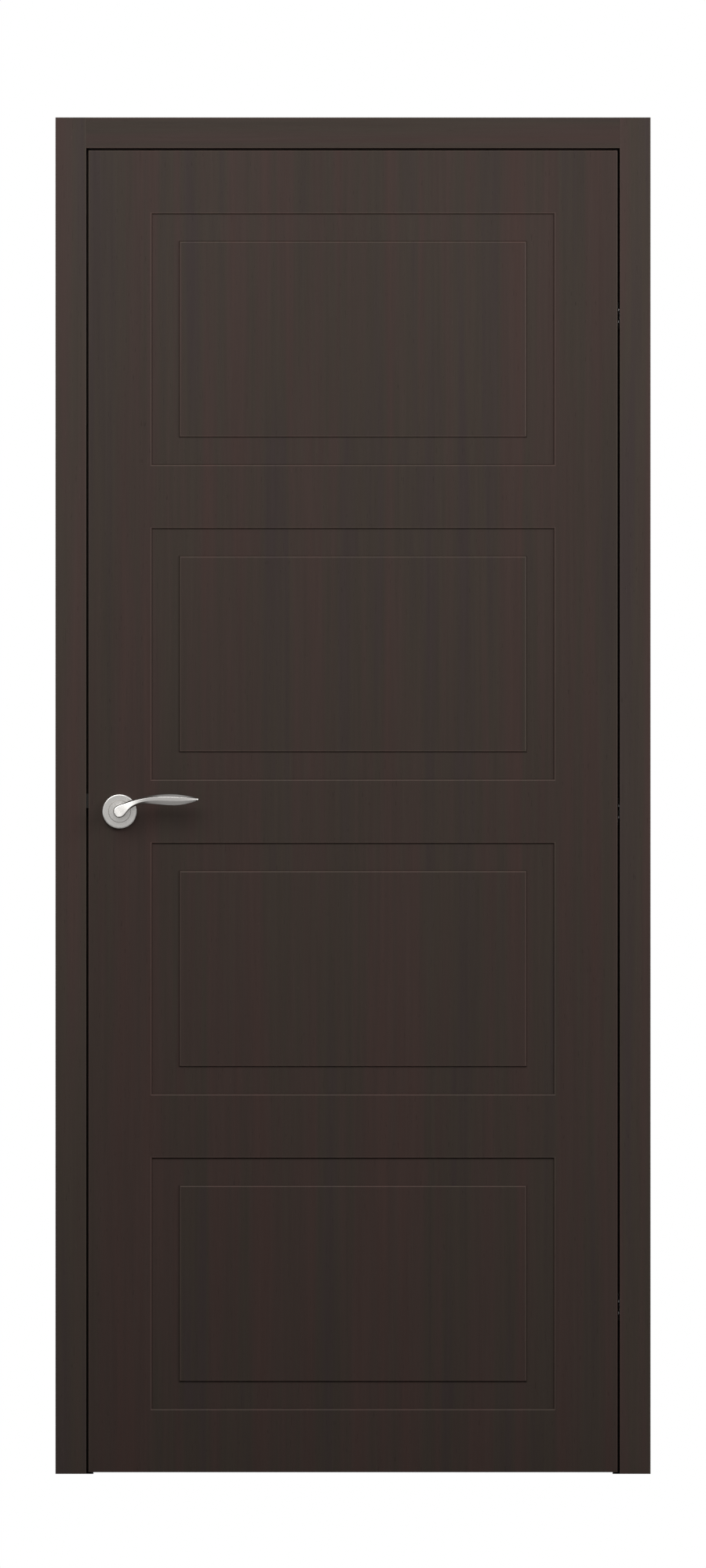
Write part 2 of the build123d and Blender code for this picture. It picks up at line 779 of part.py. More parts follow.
# Return spring between the bolt's lug and the back of the case
spring_start = lug_face + lug_length
spring_end = case_back - case_wall
spring_turns = 6
spring_seat = (spring_start + spring_wire / 2, 0, bar_low + bar_height / 2)
spring_length = spring_end - spring_start - spring_wire
spring_radius = (spring_diameter - spring_wire) / 2

with BuildPart() as latch_spring:
    with BuildLine() as coil:
        Helix(
            spring_length / spring_turns,
            spring_length,
            spring_radius,
            center=spring_seat,
            direction=(1, 0, 0),
        )
    with BuildSketch(Plane(origin=coil.line @ 0, z_dir=coil.line % 0)):
        RegularPolygon(spring_wire / 2, 6)
    sweep(path=coil.line, is_frenet=True)
latch_spring.part.label = "latch_spring"
export_step(latch_spring.part, "parts/latch_spring.step")

# Follower with its cam, on two journals in the case
with BuildPart() as follower:
    with BuildSketch(case_plan.offset(-case_inside / 2 + seat_gap)):
        Circle(follower_radius)
        with Locations(
            (-cam_radius * math.sin(half_lever) / 2, cam_radius * math.cos(half_lever) / 2)
        ):
            SlotCenterToCenter(cam_radius, 2 * cam_half_width, rotation=90 + lever_angle / 2)
        with Locations((-cam_radius * math.sin(half_lever), cam_radius * math.cos(half_lever))):
            Circle(cam_tip)
    extrude(amount=case_inside - 2 * seat_gap)
    with BuildSketch(case_plan.offset(-case_thickness / 2)):
        Circle(journal_radius)
    extrude(amount=case_thickness)
    with BuildSketch(case_plan.offset(-case_thickness / 2)):
        Rectangle(spindle_size + 2 * running_gap, spindle_size + 2 * running_gap)
    extrude(amount=case_thickness, mode=Mode.SUBTRACT)
follower.part.label = "follower"
export_step(follower.part, "parts/follower.step")

# Spindle through follower and both levers
neck_start = leaf_thickness / 2 + neck_gap
neck_end = leaf_thickness / 2 + lever_reach
spindle_half = neck_end - spindle_end_gap
with BuildPart() as spindle:
    with BuildSketch(case_plan.offset(-spindle_half)):
        Rectangle(spindle_size, spindle_size)
    extrude(amount=2 * spindle_half)
spindle.part.label = "spindle"
export_step(spindle.part, "parts/spindle.step")

# Lever: a round neck with a flat end, from which a leaf-shaped blade with a ridged front
# grows. Each section gives its place along the blade, behind the neck's end and up, its
# slope in degrees, its half height and half depth, and where across its height the front
# facet begins and ends, with the depth of its side edges
grub_place = leaf_thickness / 2 + rose_height + grub_out
blade_sections = (
    (0.0, 6.5, 0.2, 38.0, 8.7, 6.5, 0.85, -0.85, 0.75),
    (4.7, 6.5, 3.7, 38.0, 8.0, 6.5, 0.8, -0.8, 0.7),
    (9.8, 6.5, 7.0, 35.0, 6.5, 6.3, 0.7, -0.7, 0.55),
    (14.6, 6.4, 9.9, 29.0, 5.8, 6.1, 0.6, -0.6, 0.4),
    (22.0, 6.2, 13.2, 20.0, 5.3, 5.8, 0.5, -0.45, 0.2),
    (32.0, 6.0, 16.0, 12.0, 5.5, 5.5, 0.43, -0.3, 0.1),
    (43.0, 6.0, 17.5, 7.0, 6.8, 5.2, 0.42, -0.22, 0.0),
    (56.0, 6.0, 18.1, 2.0, 8.5, 5.0, 0.42, -0.22, 0.0),
    (78.0, 6.5, 17.6, -1.0, 9.8, 4.6, 0.42, -0.22, 0.0),
    (92.0, 6.8, 17.3, 0.0, 8.9, 4.3, 0.42, -0.22, 0.0),
    (103.5, 7.0, 17.6, 0.0, 6.7, 4.0, 0.42, -0.22, 0.0),
    (111.5, 7.3, 17.8, 2.0, 4.3, 3.3, 0.42, -0.22, 0.0),
    (118.5, 7.5, 18.1, 2.0, 1.6, 2.0, 0.42, -0.22, 0.0),
)


def blade_outline(half_height, half_depth, ridge, lower_ridge, edge):
    outline = (
        (1.0, edge),
        (ridge, 1.0),
        (lower_ridge, 1.0),
        (-1.0, edge),
        (-0.8, -0.65),
        (-0.35, -1.0),
        (0.35, -1.0),
        (0.8, -0.65),
    )
    return [(height * half_height, depth * half_depth) for height, depth in outline]


with BuildPart() as lever_front:
    with BuildSketch(case_plan.offset(neck_start)):
        Circle(neck_diameter / 2)
    extrude(amount=neck_end - neck_start)
    for along, behind, up, slope, half_height, half_depth, ridge, lower_ridge, edge in blade_sections:
        rise = math.radians(slope)
        section = Plane(
            origin=(axis_x + along, behind - neck_end, axis_z + up),
            x_dir=(-math.sin(rise), 0, math.cos(rise)),
            z_dir=(math.cos(rise), 0, math.sin(rise)),
        )
        with BuildSketch(section):
            with BuildLine():
                Polyline(*blade_outline(half_height, half_depth, ridge, lower_ridge, edge), close=True)
            make_face()
    loft()
    with BuildSketch(case_plan.offset(neck_start)):
        Rectangle(spindle_size + 2 * running_gap, spindle_size + 2 * running_gap)
    extrude(amount=spindle_half - neck_start + seat_gap, mode=Mode.SUBTRACT)
    with BuildSketch(Plane(origin=(axis_x, -grub_place, axis_z), x_dir=(1, 0, 0), z_dir=(0, 0, -1))):
        Circle(grub_diameter / 2 + 0.01)
    extrude(amount=neck_diameter, mode=Mode.SUBTRACT)
lever_front.part.label = "lever_front"
export_step(lever_front.part, "parts/lever_front.step")

lever_back = mirror(lever_front.part, about=Plane.XZ)
lever_back.label = "lever_back"
export_step(lever_back, "parts/lever_back.step")

with BuildPart() as grub_screws:
    for side in (-1, 1):
        place = Plane(
            origin=(axis_x, side * grub_place, axis_z - spindle_size / 2),
            x_dir=(1, 0, 0),
            z_dir=(0, 0, -1),
        )
        with BuildSketch(place):
            Circle(grub_diameter / 2)
        extrude(amount=neck_diameter / 2 - spindle_size / 2 - 0.5)
grub_screws.part.label = "grub_screws"
export_step(grub_screws.part, "parts/grub_screws.step")

# Roses: a base with two sleeves, a turned cover, and a bush for the lever's neck
base_radius = rose_diameter / 2 - rose_wall - seat_gap
bush_radius = neck_diameter / 2 + running_gap + bush_wall
sleeve_length = (leaf_thickness - case_thickness) / 2 - pocket_gap
face_out = leaf_thickness / 2


def rose_base():
    with BuildPart() as base:
        with BuildSketch(case_plan.offset(face_out)):
            Circle(base_radius)
            Circle(bush_radius, mode=Mode.SUBTRACT)
        extrude(amount=rose_base_thickness)
        with BuildSketch(case_plan.offset(face_out)):
            with Locations(*rose_bolt_places):
                Circle(bolt_sleeve)
        extrude(amount=-sleeve_length)
        with BuildSketch(case_plan.offset(face_out + rose_base_thickness)):
            with Locations(*rose_bolt_places):
                Circle(rose_bolt / 2 + screw_gap)
        extrude(amount=-(rose_base_thickness + sleeve_length), mode=Mode.SUBTRACT)
    return base.part


def rose_cover():
    with BuildPart() as cover:
        with BuildSketch(Plane.XZ):
            with BuildLine():
                Polyline(
                    (base_radius + seat_gap, 0),
                    (rose_diameter / 2, 0),
                    (rose_diameter / 2, rose_height - rose_rim),
                    (rose_diameter / 2 - rose_rim / 3, rose_height - rose_rim_drop),
                    (rose_diameter / 2 - rose_rim, rose_height),
                    (rose_groove_radius + rose_groove_width / 2, rose_height),
                    (rose_groove_radius, rose_height - rose_groove_depth),
                    (rose_groove_radius - rose_groove_width / 2, rose_height),
                    (neck_diameter / 2 + pocket_gap, rose_height),
                    (neck_diameter / 2 + pocket_gap, rose_height - rose_wall),
                    (base_radius + seat_gap, rose_height - rose_wall),
                    close=True,
                )
            make_face()
        revolve(axis=Axis.Z)
    return cover.part


cover_place = Plane(origin=(axis_x, front_face, axis_z), x_dir=(1, 0, 0), z_dir=(0, -1, 0)).location
base_front = rose_base()
base_back = mirror(base_front, about=Plane.XZ)
cover_front = cover_place * rose_cover()
cover_back = mirror(cover_front, about=Plane.XZ)
for name, shape in (
    ("rose_base_front", base_front),
    ("rose_base_back", base_back),
    ("rose_cover_front", cover_front),
    ("rose_cover_back", cover_back),
):
    shape.label = name
    export_step(shape, "parts/" + name + ".step")

with BuildPart() as rose_bushes:
    for start, end in ((face_out, face_out + rose_base_thickness), (-face_out, -face_out - rose_base_thickness)):
        with BuildSketch(case_plan.offset(start)):
            Circle(bush_radius - 0.01)
            Circle(neck_diameter / 2 + running_gap, mode=Mode.SUBTRACT)
        extrude(amount=end - start)
rose_bushes.part.label = "rose_bushes"
export_step(rose_bushes.part, "parts/rose_bushes.step")

with BuildPart() as rose_bolts:
    with BuildSketch(case_plan.offset(-face_out - rose_base_thickness)):
        with Locations(*rose_bolt_places):
            Circle(rose_bolt / 2)
    extrude(amount=2 * (face_out + rose_base_thickness))
    with BuildSketch(case_plan.offset(-face_out - rose_base_thickness)):
        with Locations(*rose_bolt_places):
            Circle(rose_bolt)
    extrude(amount=-rose_bolt_head)
rose_bolts.part.label = "rose_bolts"
export_step(rose_bolts.part, "parts/rose_bolts.step")

# Leaf: one slab with milled panels on both faces and mortises for hinges and latch
bore_radius = neck_diameter / 2 + bush_wall
with BuildPart() as leaf:
    with Locations((0, 0, floor_gap + leaf_height / 2)):
        Box(leaf_width, leaf_thickness, leaf_height)
    for direction in (-1, 1):
        face = Plane(origin=(0, direction * face_out, 0), x_dir=(-direction, 0, 0), z_dir=(0, direction, 0))
        with BuildSketch(face):
            with Locations(*[(0, middle) for middle in panel_middles]):
                Rectangle(panel_width, panel_height)
        extrude(amount=-panel_depth, taper=panel_taper, mode=Mode.SUBTRACT)
        with BuildSketch(face.offset(-field_drop)):
            with Locations(*[(0, middle) for middle in panel_middles]):
                Rectangle(panel_width - 2 * panel_border, panel_height - 2 * panel_border)
        extrude(amount=-(panel_depth - field_drop), taper=-panel_taper)
    for height in hinge_places:
        cut_cup_pocket(-1, height)
        with Locations(*cup_screw_locations(-1, height)):
            add(screw_hole(*cup_screw), mode=Mode.SUBTRACT)
    with BuildSketch(edge_surface):
        with Locations((0, case_middle_z)):
            SlotOverall(face_height + 2 * seat_gap, face_width + 2 * seat_gap, rotation=90)
    extrude(amount=face_thickness, mode=Mode.SUBTRACT)
    with BuildSketch(edge_surface):
        with Locations((0, case_middle_z)):
            Rectangle(case_thickness + 2 * pocket_gap, case_above + case_below + 2 * pocket_gap)
    extrude(amount=face_thickness + case_length + pocket_gap, mode=Mode.SUBTRACT)
    with Locations(*face_screw_locations()):
        add(screw_hole(*face_screw), mode=Mode.SUBTRACT)
    with BuildSketch(case_plan.offset(-face_out)):
        Circle(bore_radius)
        with Locations(*rose_bolt_places):
            Circle(bolt_sleeve + seat_gap)
    extrude(amount=leaf_thickness, mode=Mode.SUBTRACT)
leaf.part.label = "leaf"
export_step(leaf.part, "parts/leaf.step")
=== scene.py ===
import math

import bmesh
import bpy
from mathutils import Matrix, Vector
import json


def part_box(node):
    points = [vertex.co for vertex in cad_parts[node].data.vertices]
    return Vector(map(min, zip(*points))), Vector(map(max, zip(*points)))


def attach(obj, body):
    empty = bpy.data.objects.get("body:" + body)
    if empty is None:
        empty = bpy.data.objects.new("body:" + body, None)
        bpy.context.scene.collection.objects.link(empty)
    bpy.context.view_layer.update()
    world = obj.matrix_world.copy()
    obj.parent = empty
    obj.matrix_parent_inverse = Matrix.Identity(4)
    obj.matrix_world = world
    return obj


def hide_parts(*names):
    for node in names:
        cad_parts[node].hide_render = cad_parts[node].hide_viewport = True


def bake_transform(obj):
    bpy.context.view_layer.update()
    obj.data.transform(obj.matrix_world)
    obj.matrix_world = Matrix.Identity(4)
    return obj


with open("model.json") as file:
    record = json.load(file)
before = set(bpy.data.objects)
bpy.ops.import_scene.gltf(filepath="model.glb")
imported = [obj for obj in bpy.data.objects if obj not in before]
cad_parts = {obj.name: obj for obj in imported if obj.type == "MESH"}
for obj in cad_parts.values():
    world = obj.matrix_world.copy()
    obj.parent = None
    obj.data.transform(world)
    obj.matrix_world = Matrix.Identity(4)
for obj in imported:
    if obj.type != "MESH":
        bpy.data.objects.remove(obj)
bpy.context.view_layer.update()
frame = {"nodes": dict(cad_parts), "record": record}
nodes = frame["nodes"]
scene = bpy.context.scene
print("frame loaded,", len(nodes), "nodes")

# the photograph looks straight at the door, so the camera has no perspective
photo = {
    "frameHeight": 2.3725,  # metres from the bottom of the picture to its top
    "middleHeight": 1.0439,
    "distance": 6.0,
}


def addCamera():
    camera = bpy.data.objects.new("camera", bpy.data.cameras.new("camera"))
    camera.data.type = "ORTHO"
    camera.data.ortho_scale = photo["frameHeight"]
    camera.location = (0, -photo["distance"], photo["middleHeight"])
    camera.rotation_euler = (math.radians(90), 0, 0)
    scene.collection.objects.link(camera)
    scene.camera = camera


# helpers for finishes

# a colour mix has its colours in these sockets, after those of its number and vector forms
colourMix = {"factor": 0, "first": 6, "second": 7, "result": 2}


def paint(red, green, blue):  # a colour as an image shows it, 0 to 255, for a shader
    channels = []
    for value in (red, green, blue):
        share = value / 255
        channels.append(share / 12.92 if share <= 0.04045 else ((share + 0.055) / 1.055) ** 2.4)
    return (*channels, 1.0)


def grey(value):
    return (value, value, value, 1.0)


def newFinish(name):
    material = bpy.data.materials.new(name)
    material.use_nodes = True
    tree = material.node_tree
    tree.nodes.clear()
    output = tree.nodes.new("ShaderNodeOutputMaterial")
    shader = tree.nodes.new("ShaderNodeBsdfPrincipled")
    tree.links.new(shader.outputs["BSDF"], output.inputs["Surface"])
    return material, tree, shader


def noiseAt(tree, stretch, detail, warp=0.0, shift=(0, 0, 0)):  # stretch is in cells a metre
    position = tree.nodes.new("ShaderNodeTexCoord")
    mapping = tree.nodes.new("ShaderNodeMapping")
    mapping.inputs["Location"].default_value = shift
    mapping.inputs["Scale"].default_value = stretch
    noise = tree.nodes.new("ShaderNodeTexNoise")
    noise.inputs["Scale"].default_value = 1.0
    noise.inputs["Detail"].default_value = detail
    noise.inputs["Distortion"].default_value = warp
    tree.links.new(position.outputs["Object"], mapping.inputs["Vector"])
    tree.links.new(mapping.outputs["Vector"], noise.inputs["Vector"])
    return noise.outputs[0]


def rampOf(tree, factor, stops):
    ramp = tree.nodes.new("ShaderNodeValToRGB")
    elements = ramp.color_ramp.elements
    elements[0].position, elements[0].color = stops[0]
    elements[1].position, elements[1].color = stops[-1]
    for position, colour in stops[1:-1]:
        elements.new(position).color = colour
    tree.links.new(factor, ramp.inputs["Fac"])
    return ramp.outputs["Color"]


def between(tree, factor, span, low, high):  # from one colour to the other over a span of the factor
    return rampOf(tree, factor, ((span[0], low), (span[1], high)))


def multiplied(tree, first, second):
    mix = tree.nodes.new("ShaderNodeMix")
    mix.data_type = "RGBA"
    mix.blend_type = "MULTIPLY"
    mix.inputs[colourMix["factor"]].default_value = 1.0
    tree.links.new(first, mix.inputs[colourMix["first"]])
    tree.links.new(second, mix.inputs[colourMix["second"]])
    return mix.outputs[colourMix["result"]]


def bumpOf(tree, shader, height, depth):
    bump = tree.nodes.new("ShaderNodeBump")
    bump.inputs["Strength"].default_value = 1.0
    bump.inputs["Distance"].default_value = depth
    tree.links.new(height, bump.inputs["Height"])
    tree.links.new(bump.outputs["Normal"], shader.inputs["Normal"])


# dark stained wood, in layers that run along the grain. Marks are their width and length in
# metres, and shade is how much a layer darkens and lightens the stain
wood = {
    "layers": {
        "bands": {"marks": (0.03, 1.1), "detail": 2.0, "warp": 0.3},
        "drift": {"marks": (0.25, 1.4), "detail": 2.0, "warp": 0.0, "shade": 0.05},
        "streaks": {"marks": (0.006, 0.3), "detail": 3.0, "warp": 0.0, "shade": 0.06},
        "fibres": {"marks": (0.0014, 0.04), "detail": 3.0, "warp": 0.0, "shade": 0.03},
        "pores": {"marks": (0.0012, 0.014), "detail": 0.0, "warp": 0.0},
    },
    "tints": (
        (0.3, paint(63, 54, 52)),
        (0.43, paint(65, 57, 51)),
        (0.55, paint(68, 56, 52)),
        (0.7, paint(71, 56, 52)),
    ),
    "shadeSpan": (0.25, 0.75),
    "pits": ((0.17, grey(0.78)), (0.22, grey(1.0)), (0.8, grey(1.0)), (0.86, grey(1.12))),
    "roughness": ((0.2, grey(0.46)), (0.8, grey(0.38))),
    "relief": 0.00006,
    "gloss": 0.07,
    "highlightTone": 1.75,  # how much lighter the stain is on an arris: a painted highlight along the edge
    "highlightShine": 1.5,
}


def woodFinish(name, upright, shift, tone, shine=1.0):
    material, tree, shader = newFinish(name)
    noises = {}
    for key, layer in wood["layers"].items():
        width, length = layer["marks"]
        stretch = (1 / width, 1 / width, 1 / length) if upright else (1 / length, 1 / width, 1 / width)
        noises[key] = noiseAt(tree, stretch, layer["detail"], layer["warp"], shift)
    tint = rampOf(tree, noises["bands"], wood["tints"])
    for key, level in (("drift", tone), ("streaks", 1.0), ("fibres", 1.0)):
        shade = wood["layers"][key]["shade"]
        dark, pale = grey((1 - shade) * level), grey((1 + shade) * level)
        tint = multiplied(tree, tint, between(tree, noises[key], wood["shadeSpan"], dark, pale))
    pits = rampOf(tree, noises["pores"], wood["pits"])
    tree.links.new(multiplied(tree, tint, pits), shader.inputs["Base Color"])
    tree.links.new(rampOf(tree, noises["fibres"], wood["roughness"]), shader.inputs["Roughness"])
    shader.inputs["Specular IOR Level"].default_value = wood["gloss"] * shine
    height = between(tree, noises["fibres"], (0, 1), grey(0), grey(1))
    bumpOf(tree, shader, multiplied(tree, height, pits), wood["relief"])
    return material


# metal is faintly clouded, with fine lines, and a little darker and duller between them
metal = {
    "cloudStretch": (60, 60, 60),
    "cloudSpan": (0.3, 0.7),
    "lineSpan": (0.2, 0.8),
    "detail": 3.0,
    "duller": 0.05,
    "glossier": 0.04,
}


def metalFinish(name, colour, dull, stretch, depth, contrast):
    material, tree, shader = newFinish(name)
    shader.inputs["Metallic"].default_value = 1.0
    lines = noiseAt(tree, stretch, metal["detail"])
    cloud = noiseAt(tree, metal["cloudStretch"], metal["detail"])
    pale = tuple(min(1.0, part * (1 + contrast)) for part in colour)
    clouded = between(tree, cloud, metal["cloudSpan"], colour, pale)
    lined = between(tree, lines, metal["lineSpan"], grey(1 - contrast), grey(1.0))
    tree.links.new(multiplied(tree, clouded, lined), shader.inputs["Base Color"])
    dullest, glossiest = grey(dull + metal["duller"]), grey(dull - metal["glossier"])
    roughness = between(tree, lines, metal["lineSpan"], dullest, glossiest)
    tree.links.new(roughness, shader.inputs["Roughness"])
    bumpOf(tree, shader, lines, depth)
    return material


# rubber and plastic are finely speckled
moulded = {"span": (0.3, 0.7), "detail": 4.0, "uneven": 0.06}


def mouldedFinish(name, low, high, dull, grain, depth):
    material, tree, shader = newFinish(name)
    speck = noiseAt(tree, (grain, grain, grain), moulded["detail"])
    tree.links.new(between(tree, speck, moulded["span"], low, high), shader.inputs["Base Color"])
    dullest, glossiest = grey(dull + moulded["uneven"]), grey(dull - moulded["uneven"])
    roughness = between(tree, speck, moulded["span"], dullest, glossiest)
    tree.links.new(roughness, shader.inputs["Roughness"])
    bumpOf(tree, shader, speck, depth)
    return material


# every cut of wood has a grain of its own, upright or level, and the side casings are lighter
cuts = {
    "upright": {"upright": True, "shift": (0.0, 0.0, 0.0), "tone": 1.0},
    "level": {"upright": False, "shift": (3.1, 1.7, 5.3), "tone": 1.0},
    "casing": {"upright": True, "shift": (0.7, 2.3, 1.9), "tone": 1.14},
}
# colour, roughness, grain in cells a metre, depth of the grain, contrast
metals = {
    "satin_nickel": ((0.565, 0.548, 0.527, 1), 0.24, (90, 3500, 3500), 0.000003, 0.04),
    "zinc": ((0.44, 0.45, 0.46, 1), 0.42, (500, 500, 500), 0.00002, 0.12),
    "hinge_zinc": ((0.5, 0.5, 0.49, 1), 0.36, (700, 700, 700), 0.000015, 0.1),
    "plate_steel": ((0.55, 0.54, 0.52, 1), 0.32, (2500, 2500, 60), 0.000006, 0.06),
    # the bolt's metal is nearly black: painted shade for the bolt that shows in the dark gap beside the leaf
    "bolt_metal": ((0.04, 0.038, 0.036, 1), 0.42, (80, 2200, 2200), 0.000005, 0.06),
    "steel": ((0.52, 0.52, 0.53, 1), 0.34, (1500, 1500, 1500), 0.000008, 0.06),
}
# darkest and palest colour, roughness, grain in cells a metre, depth of the grain
mouldings = {
    "dark_rubber": (paint(26, 25, 24), paint(34, 32, 31), 0.7, 900, 0.00005),
    "nylon": (paint(206, 203, 196), paint(216, 213, 206), 0.5, 500, 0.00003),
}
finishes = {}
for name, cut in cuts.items():
    upright, shift = cut["upright"], cut["shift"]
    finishes[name + "Wood"] = woodFinish(name + "_wood", upright, shift, cut["tone"])
    # every cut also has a paler, glossier copy for its arrises: a painted highlight where an edge catches
    # the light
    arrisHighlight = woodFinish(name + "_arris_highlight", upright, shift, wood["highlightTone"], wood["highlightShine"])
    finishes[name + "HighlightArris"] = arrisHighlight
for name, values in metals.items():
    finishes[name] = metalFinish(name, *values)
for name, values in mouldings.items():
    finishes[name] = mouldedFinish(name, *values)

levelNodes = ("head_jamb", "front_casing_head", "back_casing_head")
for row in frame["record"]["subparts"]:
    node = nodes[row["node"]]
    if row["material_slot"] == "stained_wood":
        finish = finishes["levelWood" if row["node"] in levelNodes else "uprightWood"]
    else:
        finish = finishes[row["material_slot"]]
    node.data.materials.clear()
    node.data.materials.append(finish)
print("finishes made")

# the room: soft daylight, a large lamp high up in front, one to the right and one behind
studio = {
    "roomLight": 0.18,
    "roomColour": (1.0, 0.99, 0.98, 1),
    "keyPlace": (-1.0, -3.1, 2.95),
    "keyTarget": (0.0, 0.0, 2.6),
    "keySize": (2.6, 2.0),
    "keyPower": 68.0,
    "fillPlace": (2.0, -2.0, 2.0),
    "fillSize": (1.5, 1.5),
    "fillPower": 30.0,
    "backPlace": (1.2, 3.1, 2.8),
    "backTarget": (0.0, 0.0, 1.4),
    "backPower": 80.0,
    # metal sees a pale room with a bright window up on the left and a dim ceiling beyond it
    "windowSide": (-0.55, 0.0, 0.835),
    "windowLevels": (
        (0.15, 0.3),
        (0.4, 0.6),
        (0.5, 0.66),
        (0.54, 0.8),
        (0.585, 1.2),
        (0.66, 1.1),
        (0.72, 0.6),
        (0.88, 0.42),
    ),
}
# the floor is pale to look at, and darker to the light that it throws back on the door
ground = {"size": 9.0, "seen": 0.8, "thrown": 0.25, "roughness": 0.9, "gloss": 0.1}


def windowRoom(tree):  # the room's brightness by how near a direction is to the window's
    towards = tree.nodes.new("ShaderNodeTexCoord")
    facing = tree.nodes.new("ShaderNodeVectorMath")
    facing.operation = "DOT_PRODUCT"
    facing.inputs[1].default_value = studio["windowSide"]
    tree.links.new(towards.outputs["Generated"], facing.inputs[0])
    share = tree.nodes.new("ShaderNodeMapRange")
    share.inputs["From Min"].default_value = -1.0
    share.inputs["From Max"].default_value = 1.0
    tree.links.new(facing.outputs["Value"], share.inputs["Value"])
    stops = [(spot, grey(level)) for spot, level in studio["windowLevels"]]
    return rampOf(tree, share.outputs["Result"], stops)


def addWorld():  # white to look at, the room with its window in a reflection, soft light otherwise
    world = bpy.data.worlds.new("studio")
    world.use_nodes = True
    scene.world = world
    tree = world.node_tree
    tree.nodes.clear()
    output = tree.nodes.new("ShaderNodeOutputWorld")
    light = tree.nodes.new("ShaderNodeBackground")
    light.inputs["Color"].default_value = studio["roomColour"]
    light.inputs["Strength"].default_value = studio["roomLight"]
    seen = tree.nodes.new("ShaderNodeBackground")
    seen.inputs["Strength"].default_value = 1.0
    path = tree.nodes.new("ShaderNodeLightPath")
    mirrored = tree.nodes.new("ShaderNodeMix")
    mirrored.data_type = "RGBA"
    mirrored.inputs[colourMix["first"]].default_value = grey(1.0)
    tree.links.new(path.outputs["Is Glossy Ray"], mirrored.inputs[colourMix["factor"]])
    tree.links.new(windowRoom(tree), mirrored.inputs[colourMix["second"]])
    tree.links.new(mirrored.outputs[colourMix["result"]], seen.inputs["Color"])
    isSeen = path.outputs["Is Camera Ray"]
    for kind in ("Is Glossy Ray", "Is Transmission Ray"):
        either = tree.nodes.new("ShaderNodeMath")
        either.operation = "MAXIMUM"
        tree.links.new(isSeen, either.inputs[0])
        tree.links.new(path.outputs[kind], either.inputs[1])
        isSeen = either.outputs[0]
    mix = tree.nodes.new("ShaderNodeMixShader")
    tree.links.new(isSeen, mix.inputs["Fac"])
    tree.links.new(light.outputs[0], mix.inputs[1])
    tree.links.new(seen.outputs[0], mix.inputs[2])
    tree.links.new(mix.outputs[0], output.inputs["Surface"])
    scene.view_settings.view_transform = "Standard"


def addLamp(name, place, target, size, power):
    lamp = bpy.data.lights.new(name, "AREA")
    lamp.shape = "RECTANGLE"
    lamp.size, lamp.size_y = size
    lamp.energy = power
    holder = bpy.data.objects.new(name, lamp)
    holder.location = place
    holder.rotation_euler = (Vector(target) - Vector(place)).to_track_quat("-Z", "Y").to_euler()
    scene.collection.objects.link(holder)


def addFloor():
    bm = bmesh.new()
    bmesh.ops.create_grid(bm, x_segments=1, y_segments=1, size=ground["size"] / 2)
    mesh = bpy.data.meshes.new("floor")
    bm.to_mesh(mesh)
    bm.free()
    floor = bpy.data.objects.new("floor", mesh)
    scene.collection.objects.link(floor)
    material, tree, shader = newFinish("pale_floor")
    path = tree.nodes.new("ShaderNodeLightPath")
    seen, thrown = grey(ground["seen"]), grey(ground["thrown"])
    pale = between(tree, path.outputs["Is Diffuse Ray"], (0.0, 1.0), seen, thrown)
    tree.links.new(pale, shader.inputs["Base Color"])
    shader.inputs["Roughness"].default_value = ground["roughness"]
    shader.inputs["Specular IOR Level"].default_value = ground["gloss"]
    mesh.materials.append(material)


addCamera()
addWorld()
addLamp("key", studio["keyPlace"], studio["keyTarget"], studio["keySize"], studio["keyPower"])
addLamp("fill", studio["fillPlace"], studio["keyTarget"], studio["fillSize"], studio["fillPower"])
addLamp("back", studio["backPlace"], studio["backTarget"], studio["fillSize"], studio["backPower"])
addFloor()
print("room made")

# helpers for the finished pieces

weldGap = 0.000002  # corners this near each other are one


def solidMesh(node):  # a solid's mesh with its faces joined at their corners
    bm = bmesh.new()
    bm.from_mesh(nodes[node].data)
    bmesh.ops.remove_doubles(bm, verts=bm.verts, dist=weldGap)
    return bm


def smoothUpTo(mesh, angle):  # faces shade as one where they meet at less than this angle
    for polygon in mesh.polygons:
        polygon.use_smooth = True
    mesh.set_sharp_from_angle(angle=math.radians(angle))


def newPiece(name, bm, finish):
    mesh = bpy.data.meshes.new(name)
    bm.to_mesh(mesh)
    bm.free()
    mesh.materials.append(finishes[finish])
    if "custom_normal" in mesh.attributes:  # a changed solid's old normals are out of date
        mesh.attributes.remove(mesh.attributes["custom_normal"])
    for polygon in mesh.polygons:
        polygon.use_smooth = False
    piece = bpy.data.objects.new(name, mesh)
    scene.collection.objects.link(piece)
    return piece


def place(piece, body, slotName, *replaced):
    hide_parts(*replaced)
    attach(piece, body)


def cutOrJoin(piece, bm, operation):
    mesh = bpy.data.meshes.new("tool")
    bm.to_mesh(mesh)
    bm.free()
    tool = bpy.data.objects.new("tool", mesh)
    scene.collection.objects.link(tool)
    change = piece.modifiers.new(operation.lower(), "BOOLEAN")
    change.operation = operation
    change.solver = "EXACT"
    change.object = tool
    return tool


def settle(piece, tools):  # the piece keeps the shape its modifiers give it
    graph = bpy.context.evaluated_depsgraph_get()
    mesh = bpy.data.meshes.new_from_object(piece.evaluated_get(graph))
    piece.modifiers.clear()
    piece.data = mesh
    for tool in tools:
        bpy.data.objects.remove(tool)


# wooden boards keep their solids' shapes, with the sanded arris of a real one, painted lighter as a
# highlight
arris = {
    "width": 0.0011,
    "shortest": 0.05,  # an edge is sanded if it is longer than this,
    "leastTurn": 15,  # if its faces turn more than this, in degrees,
    "relief": 0.001,  # and if it is no deeper than this below the board's face
    "strip": 0.0025,  # a cut this far below each face keeps the bevel clear of the mortises
    "flatTurn": 0.5,  # faces that turn less than this are one
    "snap": 0.000005,  # a point this near a line is on it
    "digits": 6,
}


def turnsOver(edge, angle):  # whether an edge's faces turn more than an angle in degrees
    return edge.calc_face_angle() > math.radians(angle)


def square(edge, axis):  # whether an edge stands square to an axis
    return abs(edge.verts[0].co[axis] - edge.verts[1].co[axis]) < arris["snap"]


